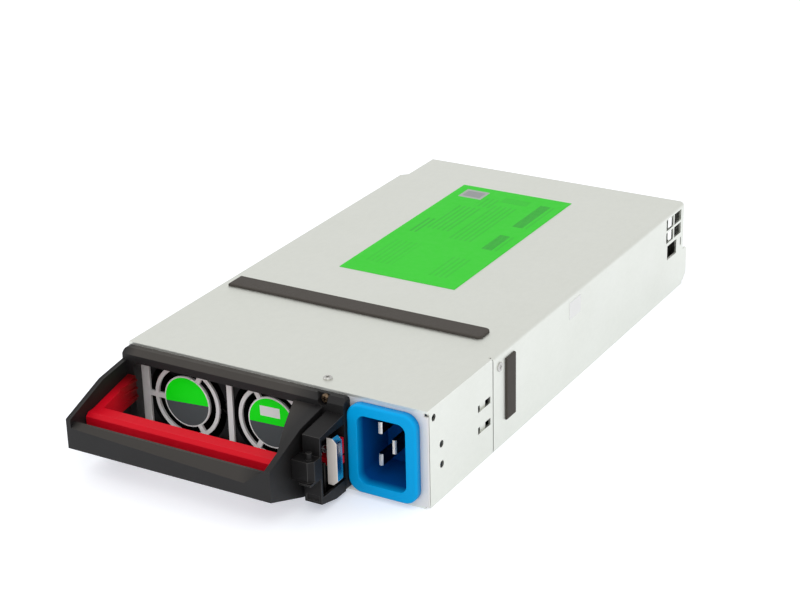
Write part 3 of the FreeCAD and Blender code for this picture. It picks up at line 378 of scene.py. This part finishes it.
def only(obj):
    """Selects one object and makes it active."""
    bpy.ops.object.select_all(action="DESELECT")
    obj.select_set(True)
    bpy.context.view_layer.objects.active = obj


def dress(material, *nodes):
    """Gives CAD nodes their finished material."""
    for node in nodes:
        slots = frame["nodes"][node].data.materials
        slots.clear()
        slots.append(material)


def apply_modifier(obj, kind, **settings):
    """Adds a modifier with its settings to an object and applies it."""
    only(obj)
    modifier = obj.modifiers.new(kind.title(), kind)
    for name, value in settings.items():
        setattr(modifier, name, value)
    bpy.ops.object.modifier_apply(modifier=modifier.name)


def shift(piece, low, high, by):
    """Moves the vertices of a piece that lie inside a box. Edit mode is on before and after."""
    bpy.ops.mesh.select_all(action="DESELECT")
    bpy.ops.object.mode_set(mode="OBJECT")
    for vertex in piece.data.vertices:
        vertex.select = all(a <= c <= b for a, c, b in zip(low, vertex.co, high))
    bpy.ops.object.mode_set(mode="EDIT")
    bpy.ops.transform.translate(value=by)


def merged_copy(node, name):
    """A copy of a CAD node as one mesh without doubles."""
    source = frame["nodes"][node]
    piece = source.copy()
    piece.data = source.data.copy()
    piece.name = name
    piece.data.name = name
    piece.parent = None
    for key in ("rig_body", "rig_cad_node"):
        del piece[key]
    bpy.context.scene.collection.objects.link(piece)
    piece.data.materials.clear()
    only(piece)
    bpy.ops.object.mode_set(mode="EDIT")
    bpy.ops.mesh.select_all(action="SELECT")
    bpy.ops.mesh.remove_doubles(threshold=DOUBLE)
    bpy.ops.object.mode_set(mode="OBJECT")
    return piece


def stand_in(piece, node, body):
    """Puts a finished piece in its node's place."""
    only(piece)
    bpy.ops.object.shade_smooth_by_angle(angle=SHARP)
    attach(piece, body)
    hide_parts(node)


def reshaped(node, name, body, materials, edge=0.0, shifts=()):
    """A copy of a CAD node that stands in its place, with its moulded or pressed edges rounded. An edge of
    0 leaves them as they are. Where there are two materials, the second goes on the rounded edges. Each of
    the shifts is a box's low and high corners and how far the vertices inside it are moved before that."""
    piece = merged_copy(node, name)
    bpy.ops.object.mode_set(mode="EDIT")
    bpy.ops.mesh.select_all(action="SELECT")
    bpy.ops.mesh.dissolve_limited(angle_limit=FLAT)
    for low, high, by in shifts:
        shift(piece, low, high, by)
    bpy.ops.object.mode_set(mode="OBJECT")
    for material in materials:
        piece.data.materials.append(material)
    if edge:
        apply_modifier(piece, "BEVEL", width=edge, segments=2, limit_method="ANGLE", angle_limit=ROUNDED,
                       use_clamp_overlap=True, material=len(materials) - 1)
    stand_in(piece, node, body)
    apply_modifier(piece, "WEIGHTED_NORMAL", keep_sharp=True)


# ---- settings ----

def colour_setting(name, description, hex_colour):
    return bpy.props.FloatVectorProperty(name=name, description=description, default=linear(hex_colour),
                                         size=4, min=0.0, max=1.0, subtype="COLOR")


def length_setting(name, description, default_mm):
    return bpy.props.FloatProperty(name=name, description=description, default=default_mm * MM, min=0.0,
                                   soft_max=10 * MM, precision=5, unit="LENGTH")


def share_setting(name, description, default):
    return bpy.props.FloatProperty(name=name, description=description, default=default, min=0.0, max=1.0,
                                   subtype="FACTOR")


def power_setting(name, description, default):
    return bpy.props.FloatProperty(name=name, description=description, default=default, min=0.0, unit="POWER")


class CaseSettings(bpy.types.PropertyGroup):
    """Sheet-metal case."""
    plating: colour_setting("Plating", "Colour of the zinc-plated sheet", "#dddfd8")
    plating_bright: colour_setting("Bright plating", "Lighter tone in the mottle", "#e3e5de")
    front: colour_setting("Front sheet", "Colour of the front sheet's plating", "#e4e0e6")
    roughness: share_setting("Roughness", "Roughness of the plating", 0.42)
    web_cut_left: length_setting("Web cut left", "What the web between the fans loses on its left", 1.6)
    web_cut_right: length_setting("Web cut right", "What it loses on its right", 0.32)


class MouldingSettings(bpy.types.PropertyGroup):
    """Bezel, handle, housing and lever."""
    black: colour_setting("Black", "Colour of the bezel and handle", "#131213")
    black_worn: colour_setting("Worn black", "Lighter tone of the bezel and handle", "#1a1919")
    # painted highlight: the greyer tone of the black faces that look up, standing in for light from above
    black_painted_top_light: colour_setting("Painted top light black", "Tone of the black faces that look up", "#3d3935")
    # rubbed wear and a painted highlight: the lighter tone on the rounded edges of the black plastic
    black_edge_wear_and_highlight: colour_setting("Rubbed and highlit edge", "Colour of the rubbed edges of the black plastic", "#4a4846")
    red: colour_setting("Red", "Colour of the release lever", "#cf061c")
    # rubbed wear and a painted highlight: the lighter tone on the lever's rounded edges
    red_edge_wear_and_highlight: colour_setting("Red edge", "Colour of the lever's rubbed edges", "#e3243f")
    red_light: colour_setting("Light red", "Lighter tone of the release lever", "#d90b24")
    # painted shade: the darker tone of the lever's arms where they run under the bezel
    red_painted_shade: colour_setting("Deep red", "Tone of the lever's arms under the bezel", "#5c0408")
    handle_edge: length_setting("Handle edge", "Rounding of the handle's edges", 0.45)
    crease_left: length_setting("Crease left", "Rise of the bar's crease at its left end", 2.6)
    crease_right: length_setting("Crease right", "Fall of the crease at its right end", 1.1)
    crease_run: length_setting("Crease run", "How far the crease stops short of the right arm", 9.5)
    rail_cut: length_setting("Rail cut", "How much the left rail is thinned", 2.2)
    bar_drop: length_setting("Bar drop", "How far the bar's top is lowered", 1.4)
    lever_edge: length_setting("Lever edge", "Rounding of the lever's edges", 0.5)
    small_edge: length_setting("Small edge", "Rounding of the latch housing and the latch face", 0.25)
    slide_edge: length_setting("Slide edge", "Rounding of the latch slide", 0.2)


class PrintSettings(bpy.types.PropertyGroup):
    """Labels and strips."""
    green: colour_setting("Label green", "Ground colour of the large label", "#3bd034")
    green_cloud: colour_setting("Green cloud", "Duller tone in the large label's ground", "#33cb2b")
    green_ink: colour_setting("Label ink", "Ink of the large label's blocks", "#2f6a3c")
    patch: colour_setting("Label patch", "Colour of the large label's pale patch", "#b3a8b4")
    patch_core: colour_setting("Patch core", "Ground of the hatched block on the pale patch", "#6d7a78")
    sticker_green: colour_setting("Sticker green", "Upper field of the round stickers", "#02ff0a")
    sticker_grey: colour_setting("Sticker grey", "Lower field of the round stickers", "#4c5154")
    white: colour_setting("White", "Colour of plain film", "#f2f3f3")


class InletSettings(bpy.types.PropertyGroup):
    """AC inlet."""
    collar: colour_setting("Collar", "Colour of the inlet's collar", "#00a6ea")
    # painted shade: the darker blue deep in the inlet, where little light gets in
    cavity: colour_setting("Cavity", "Colour deep in the inlet", "#02509c")
    collar_edge: length_setting("Collar edge", "Rounding of the collar's edges", 0.3)


class StageSettings(bpy.types.PropertyGroup):
    """Floor, light and camera."""
    camera_place: bpy.props.FloatVectorProperty(name="Camera place", description="Where the camera stands",
                                                default=(0.40535, -0.71188, 0.38223), subtype="XYZ",
                                                unit="LENGTH")
    camera_turn: bpy.props.FloatVectorProperty(name="Camera turn", description="How the camera is turned",
                                               default=(1.160836, 0.022270, 0.523337), subtype="EULER",
                                               unit="ROTATION")
    lens: bpy.props.FloatProperty(name="Lens", description="Focal length in millimetres", default=89.53,
                                  min=10.0, unit="CAMERA")
    floor: colour_setting("Floor", "Colour of the floor", "#e9e9e8")
    floor_tint: colour_setting("Floor tint", "Tint of what the seen floor gains", "#eef3ff")
    floor_lift: share_setting("Floor lift", "What the seen floor gains, 1 is white", 0.46)
    sky: share_setting("Sky", "Strength of the even light all round", 0.9)
    key_power: power_setting("Key panel", "Power of the front right panel", 3.0)
    left_power: power_setting("Left panel", "Power of the left panel", 1.5)


# ---- operators ----

class PSU_OT_case(bpy.types.Operator):
    """Plate the sheet-metal case and its screws"""
    bl_idname = "psu.case"
    bl_label = "Case"

    web = 4.5 * MM    # the web between the fan openings, as the CAD has it
    sheet = 1.0 * MM  # thickness of the front sheet

    def execute(self, context):
        s = context.scene.psu_case
        dress(dull_sheet("zinc_plated_steel_case", s.plating, s.plating_bright, s.roughness),
              "base_tray", "top_cover", "rear_panel")
        front = dull_sheet("passivated_steel_front", s.front, s.plating_bright, 0.5, 0.35)
        reshaped("front_panel", "front_sheet_stamped", "case", (front,),
                 shifts=self.web_shifts(s))
        dress(plated_metal("yellow_chromated_screws", linear("#c9ad74"), 0.32),
              "fan_screws", "board_standoffs")
        dress(plated_metal("bronze_passivated_screw", linear("#6b5a48"), 0.35), "bezel_screw")
        dress(plated_metal("nickel_plated_rivets", linear("#c4c3bf"), 0.3), "cover_screw", "side_rivet")
        return {"FINISHED"}

    def web_shifts(self, s):
        """Narrows the web, which stands midway between the round stickers."""
        low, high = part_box("front_panel")
        middle = sum(corner.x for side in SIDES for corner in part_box("fan_sticker_" + side)) / 4
        shifts = []
        for edge, by_x in ((middle - self.web / 2, s.web_cut_left),
                           (middle + self.web / 2, -s.web_cut_right)):
            shifts.append(((edge - 2 * REACH, low.y - REACH, low.z),
                           (edge + 2 * REACH, low.y + self.sheet + REACH, high.z), (by_x, 0, 0)))
        return shifts


class PSU_OT_mouldings(bpy.types.Operator):
    """Round and colour the bezel, handle and latch housing"""
    bl_idname = "psu.mouldings"
    bl_label = "Bezel and handle"

    rail = 7.6 * MM                 # width of the bezel's left rail, as the CAD has it
    rail_depth = 5 * MM             # its inner face reaches this far to either side of the front sheet
    rail_top = 37 * MM              # and up to this height
    crease = (15 * MM, 25 * MM)     # heights between which the bar's crease lies
    bar_top = (24 * MM, 25.6 * MM)  # heights between which the bar's top lies
    bar_depth = (2 * MM, 5 * MM)    # how far behind the bar's front its top lies
    top_light_ends = (1 * MM, 7 * MM)   # the painted highlight on faces that look up stops short of the bezel's left and the lever's right end

    def execute(self, context):
        s = context.scene.psu_mouldings
        low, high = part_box("bezel_handle")
        lever_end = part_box("release_lever")[1].x
        # the black carries a painted highlight on the faces that look up
        black = moulded_plastic("moulded_black_abs", s.black, s.black_worn, 0.5, gloss=0.3,
                                painted_top_light=(s.black_painted_top_light, low.x + self.top_light_ends[0],
                                       lever_end - self.top_light_ends[1]))
        # the rounded edges take a lighter tone, partly rubbed wear and partly a painted highlight
        rubbed = moulded_plastic("black_abs_edge_wear_and_highlight", s.black_worn, s.black_edge_wear_and_highlight, 0.42)
        reshaped("bezel_handle", "bezel_with_handle", "case", (black, rubbed),
                 s.handle_edge, self.bar_shifts(low, high, s) + (self.rail_shift(low, s),))
        clean = moulded_plastic("moulded_black_nylon", s.black, s.black_worn, 0.5, gloss=0.2)
        reshaped("latch_housing", "latch_housing_moulded", "case", (clean, rubbed),
                 s.small_edge)
        dress(clean, "output_connector")
        return {"FINISHED"}

    def rail_shift(self, low, s):
        """Thins the bezel's left rail, so that more of the front sheet shows beside the left fan."""
        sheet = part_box("front_panel")[0].y
        inner = low.x + self.rail
        return ((inner - 2 * REACH, sheet - self.rail_depth - REACH, 0),
                (inner + 2 * REACH, sheet + self.rail_depth, self.rail_top), (-s.rail_cut, 0, 0))

    def bar_shifts(self, low, high, s):
        """Turns the even chamfer on the handle's bar into a wedge, narrow on the left, that runs up into
        the right arm, and sets the bar's top a little lower."""
        front = low.y
        under, over = self.crease
        left_end = ((low.x, front - REACH, under), (0, front + REACH, over))
        right_end = ((0, front - REACH, under), (high.x, front + REACH, over))
        top = ((low.x, front + self.bar_depth[0], self.bar_top[0]),
               (high.x, front + self.bar_depth[1], self.bar_top[1]))
        return ((*left_end, (0, 0, s.crease_left)), (*right_end, (-s.crease_run, 0, -s.crease_right)),
                (*top, (0, 0, -s.bar_drop)))


class PSU_OT_lever(bpy.types.Operator):
    """Round and colour the release lever and its latch"""
    bl_idname = "psu.lever"
    bl_label = "Release lever and latch"

    arm_shade_span = (13 * MM, 27 * MM)  # how far behind the lever's front the painted shade on the arms starts, and is full

    def execute(self, context):
        s = context.scene.psu_mouldings
        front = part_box("release_lever")[0].y
        # painted shade on the arms, darker towards the case where they run under the bezel
        deep = (s.red_painted_shade, front + self.arm_shade_span[0], front + self.arm_shade_span[1])
        skin = {"pits_mm": 0.6, "depth_mm": 0.01}
        arms = moulded_plastic("red_acetal_painted_shade", s.red, s.red_light, 0.42, gloss=0.12, deep=deep, **skin)
        # the lever's rounded edges take a lighter tone, partly rubbed wear and partly a painted highlight
        rubbed = moulded_plastic("red_acetal_edge_wear_and_highlight", s.red_light, s.red_edge_wear_and_highlight, 0.36, gloss=0.25, deep=deep,
                                 **skin)
        reshaped("release_lever", "release_lever_moulded", "lever", (arms, rubbed),
                 s.lever_edge)
        clean = moulded_plastic("moulded_red_acetal", s.red, s.red_light, 0.42, gloss=0.12, **skin)
        reshaped("latch_slide", "latch_slide_moulded", "latch", (clean,), s.slide_edge)
        nickel = linear("#e3dbdb")
        # the latch's front is a painted highlight in pale near-white
        front_highlight_nickel = nickel_with_painted_front_highlight("nickel_latch_painted_front_highlight", nickel, linear("#fdf5ee"))
        reshaped("latch_face", "latch_face_pressed", "latch", (front_highlight_nickel,), s.small_edge)
        dress(plated_metal("nickel_plated_latch", nickel, 0.2), "drive_pin")
        self.make_spring()
        return {"FINISHED"}

    def make_spring(self):
        """The spring as one plated wire, standing in the case in its node's place."""
        spring = merged_copy("lever_spring", "lever_spring_wire")
        spring.data.materials.append(plated_metal("drawn_spring_wire", linear("#9b9b9d"), 0.3))
        stand_in(spring, "lever_spring", "case")
        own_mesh(spring)


class PSU_OT_fans(bpy.types.Operator):
    """Colour the fans and their round stickers"""
    bl_idname = "psu.fans"
    bl_label = "Fans"

    # how far each sticker is turned, and where the right one's bare tag lies
    turn_deg = {"left": 4.0, "right": 2.0}
    tag_mm = {"left": None, "right": (-5.2, 4.3, 2.6, 7.0)}

    def execute(self, context):
        s = context.scene.psu_print
        nylon = moulded_plastic("glass_filled_nylon_fan", linear("#0b0b0c"), linear("#131315"), 0.5, 0.8,
                                gloss=0.15)
        winding = enamelled_winding("fan_winding_copper")
        for side in SIDES:
            dress(nylon, "fan_frame_" + side, "fan_rotor_" + side)
            dress(winding, "fan_stator_" + side)
            low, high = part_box("fan_sticker_" + side)
            dress(round_sticker("printed_film_sticker_" + side, low, high, s.sticker_green, s.sticker_grey,
                                s.white, self.turn_deg[side], self.tag_mm[side]), "fan_sticker_" + side)
        return {"FINISHED"}


class PSU_OT_inlet(bpy.types.Operator):
    """Colour the AC inlet and its pins"""
    bl_idname = "psu.inlet"
    bl_label = "Inlet"

    cavity_shade_span = (0.6 * MM, 5.0 * MM)  # how far behind the mouth the painted shade in the blue starts, and is deepest
    nose = 0.7 * MM                   # length of a pin's bright nose, in front of its painted shade

    def execute(self, context):
        s = context.scene.psu_inlet
        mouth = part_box("inlet_body")[0].y
        # the blue darkens to a painted shade down the inlet
        blue = inlet_plastic("moulded_blue_pbt", s.collar, s.cavity, mouth + self.cavity_shade_span[0],
                             mouth + self.cavity_shade_span[1])
        reshaped("inlet_body", "inlet_moulded", "case", (blue,), s.collar_edge)
        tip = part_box("power_pins")[0].y
        # the dark grey behind each pin's nose is painted shade
        dress(blade_metal("nickel_plated_brass_pins", linear("#f1ede6"), linear("#3a3c40"), tip + self.nose),
              "power_pins", "earth_pin")
        dress(plated_metal("nickel_plated_brass_contacts", linear("#cfcac0"), 0.22), "output_contacts")
        return {"FINISHED"}


class PSU_OT_prints(bpy.types.Operator):
    """Finish the labels and the gasket strips"""
    bl_idname = "psu.prints"
    bl_label = "Labels and strips"

    def execute(self, context):
        s = context.scene.psu_print
        dress(printed_label("printed_film_label", *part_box("rating_label"), s), "rating_label")
        dress(plain_film("blank_film_label", s.white), "side_label")
        dress(woven_gasket("conductive_cloth_gasket", linear("#3a3530"), linear("#57514a")),
              "top_gasket", "side_gasket")
        return {"FINISHED"}


class PSU_OT_inside(bpy.types.Operator):
    """Colour the boards and the large parts inside"""
    bl_idname = "psu.inside"
    bl_label = "Inside"

    def execute(self, context):
        dress(moulded_plastic("glass_epoxy_board", linear("#1c4a2a"), linear("#245a34"), 0.35, 1.2),
              "main_board", "filter_board")
        dress(moulded_plastic("ground_ferrite", linear("#343538"), linear("#3f4043"), 0.6, 0.4),
              "transformer_core")
        dress(enamelled_winding("enamelled_copper_winding"),
              "transformer_winding", "power_factor_choke", "filter_choke")
        dress(moulded_plastic("capacitor_sleeve", linear("#1f2434"), linear("#283046"), 0.3, 2.0),
              "bulk_capacitors")
        dress(dull_sheet("extruded_aluminium", linear("#c9cacc"), linear("#d8d9da"), 0.38),
              "primary_heat_sink", "secondary_heat_sink")
        dress(plain_film("insulating_film", linear("#d9d4c4")), "insulator_sheet")
        return {"FINISHED"}


class PSU_OT_stage(bpy.types.Operator):
    """Build the floor, the light and the camera"""
    bl_idname = "psu.stage"
    bl_label = "Stage"

    floor_size, floor_gap = 8.0, 0.02 * MM
    panel_size = 1.0
    panel_target = Vector((0, 0, 0.02))
    key_place = Vector((0.5, -0.9, 1.1))
    left_place = Vector((-1.1, -0.5, 0.8))

    def execute(self, context):
        s = context.scene.psu_stage
        scene = context.scene
        scene.view_settings.view_transform = "Standard"
        self.make_floor(s)
        self.make_world(scene, s.sky)
        self.make_panel(scene, "key_panel", self.key_place, s.key_power)
        self.make_panel(scene, "left_panel", self.left_place, s.left_power)
        camera = bpy.data.objects.new("camera", bpy.data.cameras.new("camera"))
        camera.data.lens = s.lens
        camera.data.sensor_width = 36.0
        camera.data.clip_start = 0.01
        camera.location = s.camera_place
        camera.rotation_euler = s.camera_turn
        scene.collection.objects.link(camera)
        scene.camera = camera
        return {"FINISHED"}

    def make_floor(self, s):
        """Seamless paper, a hair under the case. It gains light only where it is seen, straight or
        mirrored, so that it looks nearly white and that light falls on nothing."""
        bpy.ops.object.select_all(action="DESELECT")
        bpy.ops.mesh.primitive_plane_add(size=self.floor_size, location=(0, 0, -self.floor_gap))
        floor = bpy.context.active_object
        floor.name = "floor"
        material, tree, place = new_material("seamless_paper_floor")
        rays = add(tree, "ShaderNodeLightPath").outputs
        seen = rays["Is Camera Ray"]
        for other in ("Is Glossy Ray", "Is Transmission Ray"):
            seen = add(tree, "ShaderNodeMath", {0: seen, 1: rays[other]},
                       operation="MAXIMUM").outputs["Value"]
        lift = add(tree, "ShaderNodeMath", {0: seen, 1: s.floor_lift}, operation="MULTIPLY").outputs["Value"]
        paper = add(tree, "ShaderNodeBsdfDiffuse", {"Color": s.floor})
        glow = add(tree, "ShaderNodeEmission", {"Color": s.floor_tint, "Strength": lift})
        both = add(tree, "ShaderNodeAddShader", {0: paper.outputs["BSDF"], 1: glow.outputs["Emission"]})
        add(tree, "ShaderNodeOutputMaterial", {"Surface": both.outputs["Shader"]})
        floor.data.materials.append(material)

    def make_world(self, scene, sky):
        """Even light from all round, which the camera sees as plain white."""
        world = bpy.data.worlds.new("studio_world")
        world.use_nodes = True
        tree = world.node_tree
        tree.nodes.clear()
        path = add(tree, "ShaderNodeLightPath")
        level = add(tree, "ShaderNodeMath", {0: path.outputs["Is Camera Ray"], 1: 1.0 - sky, 2: sky},
                    operation="MULTIPLY_ADD").outputs["Value"]
        light = add(tree, "ShaderNodeBackground", {"Color": (1, 1, 1, 1), "Strength": level})
        add(tree, "ShaderNodeOutputWorld", {"Surface": light.outputs["Background"]})
        scene.world = world

    def make_panel(self, scene, name, place, power):
        """A square soft panel that faces the power supply."""
        data = bpy.data.lights.new(name, "AREA")
        data.shape = "SQUARE"
        data.size = self.panel_size
        data.energy = power
        panel = bpy.data.objects.new(name, data)
        panel.location = place
        panel.rotation_euler = (self.panel_target - place).to_track_quat("-Z", "Y").to_euler()
        scene.collection.objects.link(panel)


OPERATORS = (PSU_OT_case, PSU_OT_mouldings, PSU_OT_lever, PSU_OT_fans, PSU_OT_inlet, PSU_OT_prints,
             PSU_OT_inside, PSU_OT_stage)
SETTINGS = {"psu_case": CaseSettings, "psu_mouldings": MouldingSettings, "psu_print": PrintSettings,
            "psu_inlet": InletSettings, "psu_stage": StageSettings}


class PSU_PT_panel(bpy.types.Panel):
    """Lists the steps that dress the power supply"""
    bl_idname = "PSU_PT_panel"
    bl_label = "Power supply"
    bl_space_type = "VIEW_3D"
    bl_region_type = "UI"
    bl_category = "Power supply"

    def draw(self, context):
        for name, group in SETTINGS.items():
            box = self.layout.box()
            for field in group.__annotations__:
                box.prop(getattr(context.scene, name), field)
        for operator in OPERATORS:
            self.layout.operator(operator.bl_idname)


def register():
    for cls in (*SETTINGS.values(), *OPERATORS, PSU_PT_panel):
        bpy.utils.register_class(cls)
    for name, group in SETTINGS.items():
        setattr(bpy.types.Scene, name, bpy.props.PointerProperty(type=group))


def unregister():
    for name in SETTINGS:
        delattr(bpy.types.Scene, name)
    for cls in (PSU_PT_panel, *OPERATORS, *SETTINGS.values()):
        bpy.utils.unregister_class(cls)


def main():
    register()
    for operator in OPERATORS:
        group, step = operator.bl_idname.split(".")
        getattr(getattr(bpy.ops, group), step)()


if __name__ == "__main__":
    main()
